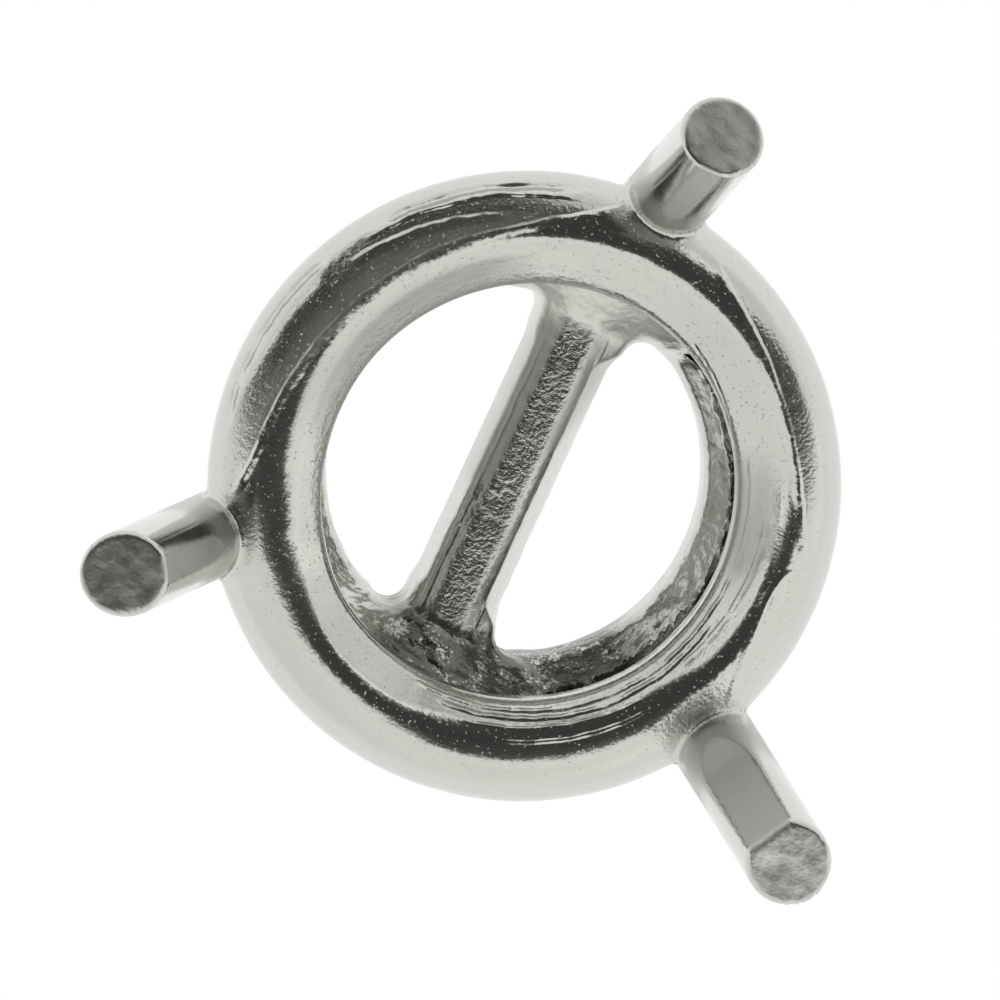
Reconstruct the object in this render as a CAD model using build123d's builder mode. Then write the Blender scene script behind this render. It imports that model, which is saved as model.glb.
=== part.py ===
from build123d import *
from math import cos, radians, sin, tan
import os

# Three-prong earring setting, cast in one piece, in millimetres.
# The ring's axis is +Z with the prongs up. The origin is in the middle of the
# underside. The first prong stands over +Y, and the cross bar runs along Y.

# Upper rail: the ring that the prongs stand on, rounded outside, with a
# sloping seat inside its crest that runs down to the lip. The seat's width is
# from the corner of its upper edge, before that is rounded, in to the lip
rail_outer_radius = 2.83
rail_crest_radius = 2.28
rail_middle_height = 1.57
rail_crest_rise = 0.48
rail_under_drop = 0.42
crest_level_width = 0.01
seat_edge_radius = 0.30
seat_width = 0.285
seat_slope = 37
rail_lip_height = 0.33
rail_lip_edge_radius = 0.07

# Filed facets on the rail's shoulder, between the prongs. Each row gives the
# facet's middle in degrees from the first prong, how far across the rail its
# crease lies there, as a share from the lip to the outer edge, and its slope
facet_rows = [
    (60, 0.37, 17),
    (85, 0.40, 19),
    (262, 0.50, 27),
    (306, 0.48, 25),
]
facet_axis_offset = 0.70

# Wall between the rail and the base ring, set back behind the rail's lip
wall_recess = 0.215
wall_thickness = 0.30

# Base ring, with the window through it and a ledge that slopes up to the wall
window_radius = 1.66
base_height = 0.50
base_step = 0.08
base_edge_radius = 0.10
ledge_rise = 0.45

# Cross bar with flared ends; a post is soldered to its underside
bar_width = 0.84
bar_height = 0.90
bar_edge_slope = 0.14
bar_end_width = 1.45
window_corner_radius = 0.26

# Prongs: round wires that lean outwards and cross the rail's outer edge
first_prong_azimuth = 90
prong_radius = 0.385
prong_splay = 19.8
prong_stand_out = 0.04
setting_height = 4.05

# How far each prong's cut end leans outwards, in degrees, first prong first
prong_end_leans = [33, 3, 4]

# Heights and radii that follow from the sizes above
crest_height = rail_middle_height + rail_crest_rise
under_height = rail_middle_height - rail_under_drop
seat_edge_reach = seat_edge_radius * tan(radians(seat_slope) / 2)
seat_top_radius = rail_crest_radius - crest_level_width - seat_edge_reach
rail_lip_radius = seat_top_radius - seat_width
seat_low_height = crest_height - seat_width * tan(radians(seat_slope))
lip_low_height = seat_low_height - rail_lip_height
wall_inner_radius = rail_lip_radius + wall_recess
wall_middle_radius = wall_inner_radius + wall_thickness / 2
base_outer_radius = wall_inner_radius + wall_thickness + base_step
ledge_height = base_height + ledge_rise
prong_pitch = 360 / len(prong_end_leans)
prong_slope = tan(radians(prong_splay))
prong_foot_radius = rail_outer_radius + prong_stand_out - rail_middle_height * prong_slope
prong_tip_radius = prong_foot_radius + setting_height * prong_slope
prong_length = setting_height / cos(radians(prong_splay))
prong_spare = 2 * prong_radius


def leaning_plane(azimuth, radius, height, lean):
    """Plane at a place round the ring, tipped outwards from level by lean degrees."""
    up = Vector(0, 0, 1)
    out = Vector(1, 0, 0).rotate(Axis.Z, azimuth)
    normal = out * sin(radians(lean)) + up * cos(radians(lean))
    return Plane(origin=out * radius + up * height, x_dir=up.cross(out), z_dir=normal)


# Section of the rail, right of the axis: two quarter ellipses outside the
# crest, and inside it the seat, the lip's upright face and the slope under it
with BuildSketch(Plane.XZ) as rail_section:
    with BuildLine():
        outer_width = rail_outer_radius - rail_crest_radius
        outer_centre = (rail_crest_radius, rail_middle_height)
        EllipticalCenterArc(outer_centre, outer_width, rail_crest_rise, start_angle=0)
        EllipticalCenterArc(outer_centre, outer_width, rail_under_drop, start_angle=270)
        FilletPolyline(
            (rail_crest_radius, crest_height),
            (seat_top_radius, crest_height),
            (rail_lip_radius, seat_low_height),
            (rail_lip_radius, lip_low_height),
            (rail_crest_radius, under_height),
            radius=[seat_edge_radius, rail_lip_edge_radius, rail_lip_edge_radius],
        )
    make_face()

# Section of the wall, from inside the base ring up to the middle of the rail
with BuildSketch(Plane.XZ) as wall_section:
    with Locations((wall_inner_radius, base_height / 2)):
        Rectangle(wall_thickness, rail_middle_height - base_height / 2, align=Align.MIN)

# Section of the base ring and its ledge, its outer and its window edge rounded
with BuildSketch(Plane.XZ) as base_section:
    with BuildLine():
        Polyline(
            (window_radius, 0),
            (base_outer_radius, 0),
            (base_outer_radius, base_height),
            (wall_middle_radius, base_height),
            (wall_middle_radius, ledge_height),
            (wall_inner_radius, ledge_height),
            (window_radius, base_height),
            close=True,
        )
    make_face()
    for side in (0, -1):
        upper_edge = base_section.vertices().group_by(Axis.X)[side].sort_by(Axis.Z)[-1]
        fillet(upper_edge, radius=base_edge_radius)

# The two windows: the base ring's circle less the bar, with rounded corners
with BuildSketch() as windows:
    Circle(window_radius)
    Rectangle(bar_width, 2 * window_radius, mode=Mode.SUBTRACT)
    fillet(windows.vertices(), radius=window_corner_radius)

# Cross bar, its upper edges sloped; its flared ends reach into the wall
with BuildPart() as bar:
    with BuildSketch():
        Circle(wall_middle_radius)
        Rectangle(bar_end_width, 2 * wall_middle_radius, mode=Mode.INTERSECT)
        add(windows.sketch, mode=Mode.SUBTRACT)
    extrude(amount=bar_height)
    chamfer(bar.faces().sort_by(Axis.Z)[-1].edges(), length=bar_edge_slope)

# Thin floor that rounds the window corners at the level of the base ring
with BuildPart() as floor:
    with BuildSketch():
        Circle(wall_middle_radius)
        add(windows.sketch, mode=Mode.SUBTRACT)
    extrude(amount=base_height - base_edge_radius)

# Prongs, each cut off flat by its own end plane and all by the base plane
with BuildPart() as prongs:
    for number, end_lean in enumerate(prong_end_leans):
        azimuth = first_prong_azimuth + number * prong_pitch
        foot_plane = leaning_plane(azimuth, prong_foot_radius, 0, prong_splay)
        with BuildSketch(foot_plane.offset(-prong_spare)):
            Circle(prong_radius)
        extrude(amount=prong_length + 2 * prong_spare)
        with BuildSketch(leaning_plane(azimuth, prong_tip_radius, setting_height, end_lean)):
            Circle(2 * prong_spare)
        extrude(amount=2 * prong_spare, mode=Mode.SUBTRACT)
    split(bisect_by=Plane.XY, keep=Keep.TOP)

# The whole casting: the rail is filed first, and the rest is joined to it
with BuildPart() as setting:
    revolve(rail_section.sketch, axis=Axis.Z)
    for middle, crease_share, slope in facet_rows:
        # What stays of the rail lies in a wide cone that stands off the ring's axis
        crease_radius = rail_lip_radius + crease_share * (rail_outer_radius - rail_lip_radius)
        crease_reach = crease_radius + facet_axis_offset
        foot_reach = crease_reach + crest_height / tan(radians(slope))
        azimuth = first_prong_azimuth + middle
        with Locations(Vector(-facet_axis_offset, 0, 0).rotate(Axis.Z, azimuth)):
            Cone(
                foot_reach,
                0,
                foot_reach * tan(radians(slope)),
                align=(Align.CENTER, Align.CENTER, Align.MIN),
                mode=Mode.INTERSECT,
            )
    revolve(wall_section.sketch, axis=Axis.Z)
    revolve(base_section.sketch, axis=Axis.Z)
    add(floor.part)
    add(bar.part)
    add(prongs.part)

os.makedirs("parts", exist_ok=True)
setting.part.label = "setting"
export_step(setting.part, "parts/setting.step")
print(f"setting: {len(setting.solids())} solid, {setting.part.volume:.3f} cubic mm")
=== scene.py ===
from math import ceil, cos, degrees, radians, sin
from types import SimpleNamespace

import bpy
from mathutils import Matrix, Vector


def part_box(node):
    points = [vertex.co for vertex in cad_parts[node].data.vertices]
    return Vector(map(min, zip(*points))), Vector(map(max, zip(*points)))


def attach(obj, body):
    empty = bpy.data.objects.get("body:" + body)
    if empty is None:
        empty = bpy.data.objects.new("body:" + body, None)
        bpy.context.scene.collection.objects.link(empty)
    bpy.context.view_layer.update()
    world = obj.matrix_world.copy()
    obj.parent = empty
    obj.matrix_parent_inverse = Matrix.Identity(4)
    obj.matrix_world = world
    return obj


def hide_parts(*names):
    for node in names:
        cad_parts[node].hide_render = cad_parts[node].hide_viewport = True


# Three-prong earring setting, cast in one piece and lying on its base ring.
# The ring's axis is +Z, the cross bar runs along Y and the first prong stands
# over +Y. The casting is worked out in millimetres and made metres at the end.
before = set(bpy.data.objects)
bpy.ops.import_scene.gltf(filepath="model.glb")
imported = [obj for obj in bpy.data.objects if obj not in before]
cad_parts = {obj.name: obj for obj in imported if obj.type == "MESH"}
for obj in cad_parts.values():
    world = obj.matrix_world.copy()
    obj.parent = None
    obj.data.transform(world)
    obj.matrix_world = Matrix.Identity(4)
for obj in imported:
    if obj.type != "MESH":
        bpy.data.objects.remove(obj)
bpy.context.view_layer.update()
METRES_PER_MM = 0.001
CAD_LOW, CAD_HIGH = [corner / METRES_PER_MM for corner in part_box("setting")]

# Sizes of the casting in millimetres, which become the node trees' inputs
SIZES = {
    "rail_outer_radius": 2.825,
    "rail_lip_height": 0.33,
    "rail_middle_height": 1.57,
    "rail_crest_rise": 0.48,
    "rail_under_drop": 0.42,
    "seat_slope": radians(38),
    "seat_rounding": 0.066,
    "wall_inner_radius": 2.10,
    "wall_outer_radius": 2.40,
    "window_radius": 1.665,
    "window_corner_radius": 0.26,
    "base_outer_radius": 2.475,
    "base_height": 0.50,
    "ledge_rise": 0.36,
    "groove_radius": 1.94,
    "groove_size": 0.05,
    "bar_width": 0.84,
    "bar_flat_width": 0.29,
    "bar_flat_shift": 0.05,
    "bar_side_slant": 0.05,
    "bar_far_slant": 0.24,
    "bar_height": 0.90,
    "bar_length": 3.00,
    "bar_climb": 0.58,
    "bar_end_width": 2.60,
    "prong_radius": 0.383,
    "prong_stand_radius": 2.87,
    "prong_end_radius": 3.763,
    "prong_end_height": 4.045,
}

# The rail's crest, the upper edge of its inner seat and its lip, which aren't quite
# round: rows of degrees from the azimuth of -Y and radius
CREST = [
    (-180, 2.30), (-120, 2.29), (-90, 2.28), (-65, 2.265), (-50, 2.225), (-30, 2.24), (-10, 2.275),
    (0, 2.305), (12, 2.355), (30, 2.34), (50, 2.32), (63, 2.285), (78, 2.265), (90, 2.28), (100, 2.32),
    (110, 2.35), (120, 2.35), (135, 2.33), (160, 2.305), (180, 2.30),
]
SEAT = [
    (-180, 2.26), (-140, 2.185), (-120, 2.155), (-100, 2.145), (-80, 2.125), (-65, 2.125), (-54, 2.165),
    (-40, 2.215), (-20, 2.26), (-5, 2.235), (10, 2.19), (30, 2.185), (50, 2.185), (60, 2.20), (70, 2.27),
    (82, 2.295), (100, 2.33), (115, 2.34), (135, 2.32), (160, 2.295), (180, 2.26),
]
LIP = [
    (-180, 1.86), (-160, 1.835), (-140, 1.81), (-120, 1.80), (-90, 1.80), (-70, 1.815), (-50, 1.845),
    (-30, 1.88), (0, 1.885), (135, 1.885), (160, 1.88), (180, 1.86),
]
CREST_MIDDLE = 270

# Rounding of the edges and fillets, in millimetres
LIP_EDGE = 0.06
WALL_FILLET = 0.08
WINDOW_EDGE = 0.09
FOOT_EDGE = 0.06
GROOVE_EDGE = 0.03
FILED_EDGE = 0.016
BAR_FILLET = 0.45
BAR_CLIMB_BEND = 0.06
BAR_STRIP_EDGE = 0.03
BAR_SIDE_EDGE = 0.05
BAR_FLARE_EDGE = 0.20
PRONG_FILLET = 0.11
PRONG_EDGE = 0.06
PRONG_FLAT_EDGE = 0.012

# Half the width of the ellipse that the rail follows inside its crest: it is
# almost level there
INNER_HALF_WIDTH = 1.2

# Crown of a filed flat as a share of half its width, the widths, as shares of the
# rail's, between which a narrowing flat runs out, and the least that one has
FILED_BULGE = 0.07
FLAT_RUNS_OUT = (0.02, 0.09)
LEAST_FLAT = 0.01

# Azimuth where the ledge goes in deepest under the lip, how far it goes in there
# in millimetres, and how ragged the groove is
GROOVE_DEEP_AT = 300
GROOVE_DEEPER_BY = 0.09
GROOVE_RAGGED = 3.0

# The bar: distances from its middle over which its ends flare, the share of its
# height above which its sides slant, how steeply its two margins fall, and how
# far it stops short of the wall's outside
BAR_FLARE = (1.10, 2.0)
BAR_SLANTS_FROM = 0.3
BAR_MARGIN_FALLS = (0.48, 0.63)
BAR_IN_WALL = 0.1

# What brings the measure of a slanted face down to its true distance
SLANT_OF_SIDE = 0.95
SLANT_OF_CLIMB = 0.9
SLANT_OF_MARGIN = 0.88

# Flats filed on the rail's shoulder between the prongs. Each has its middle in
# degrees and rows of: degrees from there, radius of its inner edge, radius of
# its outer edge. Where the two meet, the flat runs out
FLATS = [
    (150, [
        (-58, 2.70, 2.70), (-54, 2.655, 2.705), (-42, 2.484, 2.711), (-33, 2.395, 2.711),
        (-18, 2.320, 2.714), (-4, 2.280, 2.724), (6, 2.258, 2.715), (9, 2.30, 2.65), (13, 2.50, 2.50),
    ]),
    (175, [
        (-22, 2.50, 2.50), (-17, 2.32, 2.60), (-13, 2.252, 2.646), (-2, 2.315, 2.662), (6, 2.385, 2.690),
        (16, 2.460, 2.722), (26, 2.623, 2.725), (32, 2.71, 2.71),
    ]),
    (45, [
        (-43, 2.64, 2.64), (-37, 2.590, 2.66), (-30, 2.506, 2.64), (-21, 2.425, 2.62), (-11, 2.385, 2.62),
        (3, 2.385, 2.63), (12, 2.43, 2.65), (23, 2.525, 2.68), (34, 2.670, 2.72), (40, 2.72, 2.72),
    ]),
    (45, [
        (-27, 2.66, 2.66), (-15, 2.575, 2.70), (-6, 2.562, 2.73), (5, 2.585, 2.745), (23, 2.67, 2.76),
        (37, 2.75, 2.75),
    ]),
    (353, [
        (-20, 2.64, 2.64), (-13, 2.59, 2.67), (-3, 2.404, 2.68), (7, 2.353, 2.67), (13, 2.423, 2.64),
        (22, 2.54, 2.54),
    ]),
    (178, [
        (-20, 2.715, 2.715), (-12, 2.645, 2.745), (-2, 2.625, 2.755), (8, 2.645, 2.75),
        (18, 2.725, 2.725),
    ]),
]

# Prongs: azimuth where each stands on the rail, azimuth of its end, and how far
# its cut end leans outwards, all in degrees, and the depth of the flat inside it
PRONGS = [
    (88.2, 90.0, 33, 0.015),
    (213.4, 211.4, 3, 0.02),
    (331.0, 330.0, 6, 0.07),
]

# Heights between which the flat inside a prong starts, and its depth below them
PRONG_FLAT_STARTS = (2.1, 2.7)
NO_FLAT = -0.02

# Radii and heights at which the skin inside the ring passes into polished metal,
# half the length and width of the bar's straight part, and where the prongs
# come out of the rail, each as two distances in millimetres
CAST_RADII = (2.10, 2.15)
CAST_HEIGHTS = (1.36, 1.46)
BAR_HALF_LENGTHS = (1.30, 1.48)
BAR_HALF_WIDTHS = (0.36, 0.44)
PRONG_HEIGHTS = (2.02, 2.14)
PRONG_RADII = (2.84, 2.90)

# How near a point is to a filed flat, a prong's foot or a cut end when it counts as
# part of it, and the bright rim that a cut end keeps, all in millimetres
ON_RAIL_FLAT = (-0.012, 0.004)
ON_PRONG_FLAT = (-0.01, 0.004)
NEAR_PRONG = (0.45, 0.55)
ROUND_PRONG_FOOT = (0.48, 0.66)
FOOT_HEIGHTS = (2.3, 2.9)
ON_CUT_END = (-0.03, -0.015)
END_RIM = 0.05
END_RIM_EDGE = 0.02

# Unevenness of the metal: how many grains a millimetre holds, and their height in
# millimetres
LUMPS, LUMP_HEIGHT, LUMP_HEIGHT_ON_BAR = 2.5, 0.030, 0.010
SMALL_LUMPS, SMALL_LUMP_HEIGHT, SMALL_LUMP_HEIGHT_ON_BAR = 8.0, 0.010, 0.004
LUMPY_LEDGE_HEIGHT = 0.024
RAIL_WAVES, RAIL_WAVE_HEIGHT = 1.6, 0.010
RAIL_RIPPLES, RAIL_RIPPLE_HEIGHT = 5.0, 0.004
PRONG_WAVES, PRONG_WAVE_HEIGHT = 1.2, 0.012
END_CUTS, END_CUT_HEIGHT = 7.0, 0.020
GROOVE_BREAKS = 5.0
SMOOTH_FOOT = (0.0, 0.15)

# Stretches of the ring with a finish, a painted shade or a painted light of their own, in degrees: the
# azimuth that each is measured from, its start, its end, and half the width of its fading
TURNED_SEAT = (300, -78, 95, 14)
UPPER_SKIN = (140, -75, 75, 12)
MATTE_SEATS = [(152, -34, 34, 12), (16, -16, 16, 8)]
PITTED_LIP = (120, -95, 95, 10)
SOFT_CREASE = (150, -42, 45, 6)
SADDLE = (330, -10, 10, 3)
LUMPY_LEDGE = (268, -54, 90, 8)
CRUSTED_LEDGE = (270, -55, 90, 10)
COARSE_LEDGE = (232, -17, 17, 6)
LEDGE_PAINTED_SHADE = (290, -40, 38, 8)
GROOVE_PAINTED_SHADE = (10, -25, 55, 5)

# Fine burrs and turning lines on the rail: each has its height in microns, how
# far it slopes down inwards and outwards in millimetres, and rows of azimuth in
# degrees, radius, and how much of its height it has there
LINES = [
    (11, 0.080, 0.040, [
        (95, 2.70, 1.0), (98, 2.63, 1.0), (103, 2.53, 1.0), (110, 2.44, 1.0), (120, 2.365, 0.7),
        (140, 2.315, 0.5), (155, 2.30, 0.5), (170, 2.325, 0.8), (180, 2.36, 1.0), (190, 2.41, 1.2),
        (197, 2.48, 1.2), (202, 2.57, 1.0), (206, 2.64, 0.8),
    ]),
    (10, 0.080, 0.040, [
        (-24, 2.68, 0.8), (-20, 2.58, 1.0), (-10, 2.42, 1.0), (0, 2.345, 1.0), (5, 2.39, 1.0),
        (8, 2.50, 0.8), (9, 2.60, 0.5),
    ]),
    (11, 0.080, 0.045, [
        (7, 2.60, 0.5), (14, 2.50, 1.0), (25, 2.42, 1.0), (40, 2.385, 1.0), (55, 2.43, 1.0),
        (70, 2.55, 1.0), (76, 2.68, 0.8),
    ]),
    (17, 0.035, 0.060, [(104, 2.650, 0.6), (120, 2.665, 1.0), (148, 2.68, 0.7)]),
    (9, 0.080, 0.035, [(118, 2.49, 0.5), (135, 2.54, 0.8), (153, 2.60, 1.0)]),
    (-19, 0.035, 0.050, [(103, 2.715, 0.7), (120, 2.72, 1.0), (144, 2.725, 0.7)]),
    (-18, 0.035, 0.050, [(154, 2.74, 0.6), (172, 2.75, 1.0), (193, 2.73, 0.6)]),
    (8, 0.025, 0.035, [(286, 2.225, 0.6), (300, 2.235, 1.0), (325, 2.23, 0.6)]),
    (9, 0.025, 0.030, [(278, 2.12, 0.6), (300, 2.115, 1.0), (325, 2.125, 0.6)]),
    (7, 0.030, 0.030, [(270, 2.03, 0.5), (305, 2.04, 1.0), (350, 2.04, 0.5)]),
    (4, 0.025, 0.030, [(262, 1.97, 0.5), (300, 1.975, 1.0), (365, 1.985, 0.5)]),
    (5, 0.025, 0.060, [(-27, 2.09, 0.5), (0, 2.12, 1.0), (19, 2.15, 0.8)]),
    (3, 0.025, 0.060, [(-30, 1.98, 0.8), (15, 2.0, 1.0), (36, 2.01, 0.3)]),
    (-10, 0.020, 0.020, [(40, 1.90, 1.0), (52, 1.935, 1.2), (67, 1.97, 0.6)]),
]

# Degrees over which a line fades out at its ends, how far it wanders in
# millimetres, how uneven its height is, and the azimuths that turns are measured from
LINE_FADE = 5
LINE_WANDER = 0.035
LINE_UNEVEN = 2.2
LINE_TURNS_FROM = (150, 330)

# The two fine ridges along the bar: distance from its middle, half their width and
# how far they wander in millimetres, and their height in microns
BAR_RIDGES = (-0.30, 0.217)
RIDGE_HALF_WIDTH = 0.025
RIDGE_WANDER = 0.03
RIDGE_HEIGHT = 6.0

# Grain of the metal, as so many grains in a metre, and of the streaks of the file
# and the rings that turning leaves: how fine they are round the ring and, for each
# millimetre, across it
FINE_GRAIN = 34000.0
BROAD_GRAIN = 9000.0
BLOTCHES = 4500.0
STREAKS = (60.0, 13.0)
RINGS = (1.5, 14.0)

# Distances in millimetres over which a finish or a painted shade ends: from the ring's axis, from the
# bar's middle line for its grit, and from the groove for its painted shade
TURNED_RADII = (2.06, 2.14)
MATTE_RADII = (2.12, 2.24)
PITTED_RADII = (1.89, 1.95)
CREASE_RADII = (2.34, 2.60)
SADDLE_RADII = (2.33, 2.43)
LEDGE_SHADE_RADII = (1.35, 1.62)
GRIT_DISTANCES = (0.13, 0.19)
GROOVE_SHADE_DISTANCES = (0.04, 0.10)

# Bump of each grain in microns, on the first and on the second of the two places
FILED_OR_POLISHED_FINE = (2.6, 1.5)
FILED_OR_POLISHED_STREAKS = (2.4, 0.8)
FILED_OR_POLISHED_BROAD = (1.0, 2.4)
MATTE_LESS_STREAKS, MATTE_LESS_BROAD = 0.7, 1.8
TURNED_OR_OTHER_RINGS = (2.2, 1.5)
FLAT_OR_ROUND_PRONG_FINE = (3.0, 0.8)
GRIT_OR_SKIN_FINE = (9.0, 2.5)
GRIT_OR_SKIN_BROAD = (9.0, 7.0)
BAR_OR_LEDGE_BLOTCHES = (2.0, 8.0)

# Bump in microns that single places have besides, and the levels of the fine grain
# at which a pit begins and is at its deepest
LIP_FINE, LIP_BROAD = 8.0, 10.0
SADDLE_BUMP = 3.0
PRONG_FLAT_BROAD = 3.0
COARSE_BROAD, COARSE_BLOTCHES = 10.0, 12.0
CRUSTED_GAIN = 1.5
END_FINE, END_BROAD = 3.0, 6.0
PIT_LEVELS = (0.17, 0.25)
PIT_DEPTH = 4.0

# Roughness of each finish, how much it varies, and what a place adds to it
POLISHED_ROUGHNESS = 0.14
CAST_ROUGHNESS = 0.22
CUT_ROUGHNESS = 0.45
ROUGHNESS_SPREAD = 0.06
RAIL_OR_PRONG_FLAT_DULLER = (0.05, 0.30)
SADDLE_DULLER = 0.14
MATTE_SEAT_DULLER = 0.24
LIP_DULLER = 0.20
CREASE_DULLER = 0.20
UPPER_SKIN_DULLER = 0.20

# Colours of the metal where it is clean, where it carries painted shade, and where it is cut, the levels of
# the grain between which the painted shade on the ledge and by the groove sets in, and how much lighter or
# darker a place is, the skin's upper stretch paler as painted light. The cut ends past the second of two
# places along X are lighter, as painted light
CLEAN = (0.64, 0.645, 0.61)
PAINTED_SHADE_COLOUR = (0.17, 0.165, 0.145)
DULL_CUT = (0.33, 0.335, 0.32)
LEDGE_SHADE_LEVELS = (-0.22, -0.06)
GROOVE_SHADE_LEVELS = (-0.12, 0.0)
GROOVE_SHADE_DARKENS = 0.85
UPPER_SKIN_PAINTED_LIGHT = 0.28
CUT_BLOTCHES = 1.1
PAINTED_LIGHT_OR_PLAIN_END = (1.9, 1.05)
PAINTED_LIGHT_END_PLACES = (1.5, 2.5)

# Cell of the grid that the casting is drawn on, the share of it below which points
# are merged, the step over which slopes are measured, the change that is as good as
# sharp, and the room round the casting, in millimetres
CELL = 0.0405
SLIVER_SHARE = 0.2
SLOPE_STEP = 0.003
SHARP = 1e-4
FOUR_CORNERS = ((1, -1, -1), (-1, -1, 1), (-1, 1, -1), (1, 1, 1))
LEAST_CLIMB = 0.3
SURFACE_ROUNDS = 3
GRID_MARGIN = 0.12
SURFACE_LEVEL = 0.5
SEED = 7.3


class Num:
    """A number that nodes work out: the usual signs add Math nodes to its tree."""

    def __init__(self, tree, socket):
        self.tree = tree
        self.socket = socket

    def do(self, operation, *others):
        node = self.tree.nodes.new("ShaderNodeMath")
        node.operation = operation
        for place, value in zip(node.inputs, (self, *others)):
            plug(self.tree, value, place)
        return Num(self.tree, node.outputs[0])

    def __add__(self, other):
        return self.do("ADD", other)

    def __sub__(self, other):
        return self.do("SUBTRACT", other)

    def __rsub__(self, other):
        return self.do("MULTIPLY", -1.0) + other

    def __mul__(self, other):
        return self.do("MULTIPLY", other)

    def __truediv__(self, other):
        return self.do("DIVIDE", other)

    def __neg__(self):
        return self.do("MULTIPLY", -1.0)

    def __abs__(self):
        return self.do("ABSOLUTE")

    __radd__ = __add__
    __rmul__ = __mul__


def plug(tree, value, place):
    """Give a socket a worked-out number, another socket or a plain value."""
    if isinstance(value, Num):
        tree.links.new(value.socket, place)
    elif isinstance(value, bpy.types.NodeSocket):
        tree.links.new(value, place)
    else:
        place.default_value = value


def add_node(tree, kind, settings=None, **inputs):
    """Add a node, set its choices, and feed the inputs that are named."""
    node = tree.nodes.new(kind)
    for name, choice in (settings or {}).items():
        setattr(node, name, choice)
    for name, value in inputs.items():
        place = next(s for s in node.inputs if s.enabled and s.name.replace(" ", "_") == name)
        plug(tree, value, place)
    return node


def out(node, name=None):
    """The node's enabled output, or the one with this name."""
    return next(s for s in node.outputs if s.enabled and name in (None, s.name))


def smaller(a, b):
    """The smaller of two numbers."""
    return a.do("MINIMUM", b)


def larger(a, b):
    """The larger of two numbers."""
    return a.do("MAXIMUM", b)


def melt(a, b, reach):
    """Join two bodies with a fillet about reach wide."""
    return a.do("SMOOTH_MIN", b, reach)


def length(*parts):
    """Length of the arrow with these parts."""
    total = parts[0] * parts[0]
    for part in parts[1:]:
        total = total + part * part
    return total.do("SQRT")


def common(a, b, radius):
    """What two bodies have in common, with their outer edge rounded to radius."""
    a, b = a + radius, b + radius
    return smaller(larger(a, b), 0.0) + length(larger(a, 0.0), larger(b, 0.0)) - radius


def rise(value, start, end):
    """A share that goes smoothly from 0 at start to 1 at end."""
    node = add_node(
        value.tree,
        "ShaderNodeMapRange",
        {"interpolation_type": "SMOOTHSTEP"},
        Value=value,
        From_Min=start,
        From_Max=end,
    )
    return Num(value.tree, node.outputs[0])


def pick(share, high, low):
    """High where share is 1 and low where it is 0."""
    if isinstance(low, Num) and not isinstance(high, Num):
        return (1.0 - share) * (low - high) + high
    return share * (high - low) + low


def grain(tree, place, scale, detail=0.0, w=None):
    """Smooth random numbers about nought, one of them for each place."""
    node = add_node(tree, "ShaderNodeTexNoise", Vector=place, Scale=scale, Detail=detail)
    if w is not None:
        node.noise_dimensions = "4D"
        plug(tree, w + SEED, node.inputs["W"])
    return Num(tree, node.outputs[0]) - 0.5


def slab(u, v, half_u, half_v, radius):
    """Distance to a rounded rectangle about the middle of u and v."""
    return common(abs(u) - half_u, abs(v) - half_v, radius)


def along_curve(value, points):
    """A smooth curve through the points: its height where value lies along it."""
    firsts = [point[0] for point in points]
    seconds = [point[1] for point in points]
    start, span = min(firsts), max(firsts) - min(firsts)
    low, rise_by = min(seconds), max(seconds) - min(seconds)
    node = add_node(value.tree, "ShaderNodeFloatCurve", Value=(value - start) / span)
    curve = node.mapping.curves[0]
    for number, (first, second) in enumerate(points):
        place = ((first - start) / span, (second - low) / rise_by)
        if number in (0, len(points) - 1):
            curve.points[0 if number == 0 else -1].location = place
        else:
            curve.points.new(*place)
    node.mapping.update()
    return pick(Num(value.tree, node.outputs[0]), low + rise_by, low)


def window_share(value, start, end, fade):
    """1 between start and end, and 0 beyond them."""
    return rise(value, start - fade, start + fade) * (1.0 - rise(value, end - fade, end + fade))


def stretch(x, y, row):
    """1 along a stretch of the ring, and 0 beyond it."""
    azimuth, start, end, fade = row
    return window_share(turn_from(x, y, azimuth), start, end, fade)


def turn_from(x, y, middle):
    """Degrees round the ring's axis from the middle azimuth, from -180 to 180."""
    out_x, out_y = cos(radians(middle)), sin(radians(middle))
    return (y * out_x - x * out_y).do("ARCTAN2", x * out_x + y * out_y) * degrees(1.0)


def rail_body(r, z, crest, seat, lip, size):
    """The rail before it is filed: rounded outside its crest, with a sloping seat inside."""
    outside = rise(r, crest - SHARP, crest + SHARP)
    width = pick(outside, size["rail_outer_radius"] - crest, INNER_HALF_WIDTH)
    up = z - size["rail_middle_height"]
    height = pick(rise(up, -SHARP, SHARP), size["rail_crest_rise"], size["rail_under_drop"])
    across = (r - crest) / width
    up_share = up / height
    reach = length(across, up_share)
    body = reach * (reach - 1.0) / larger(length(across / width, up_share / height), SHARP)
    slope = size["seat_slope"]
    off_seat = (up - size["rail_crest_rise"]) * slope.do("COSINE") - (r - seat) * slope.do("SINE")
    body = common(body, off_seat, size["seat_rounding"])
    lip_low = size["rail_crest_rise"] - (seat - lip) * slope.do("TANGENT") - size["rail_lip_height"]
    run, fall = crest - lip, lip_low + size["rail_under_drop"]
    off_under = -((up - lip_low) * run + (r - lip) * fall) / length(run, fall)
    return common(body, common(lip - r, off_under, LIP_EDGE), LIP_EDGE)


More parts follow.
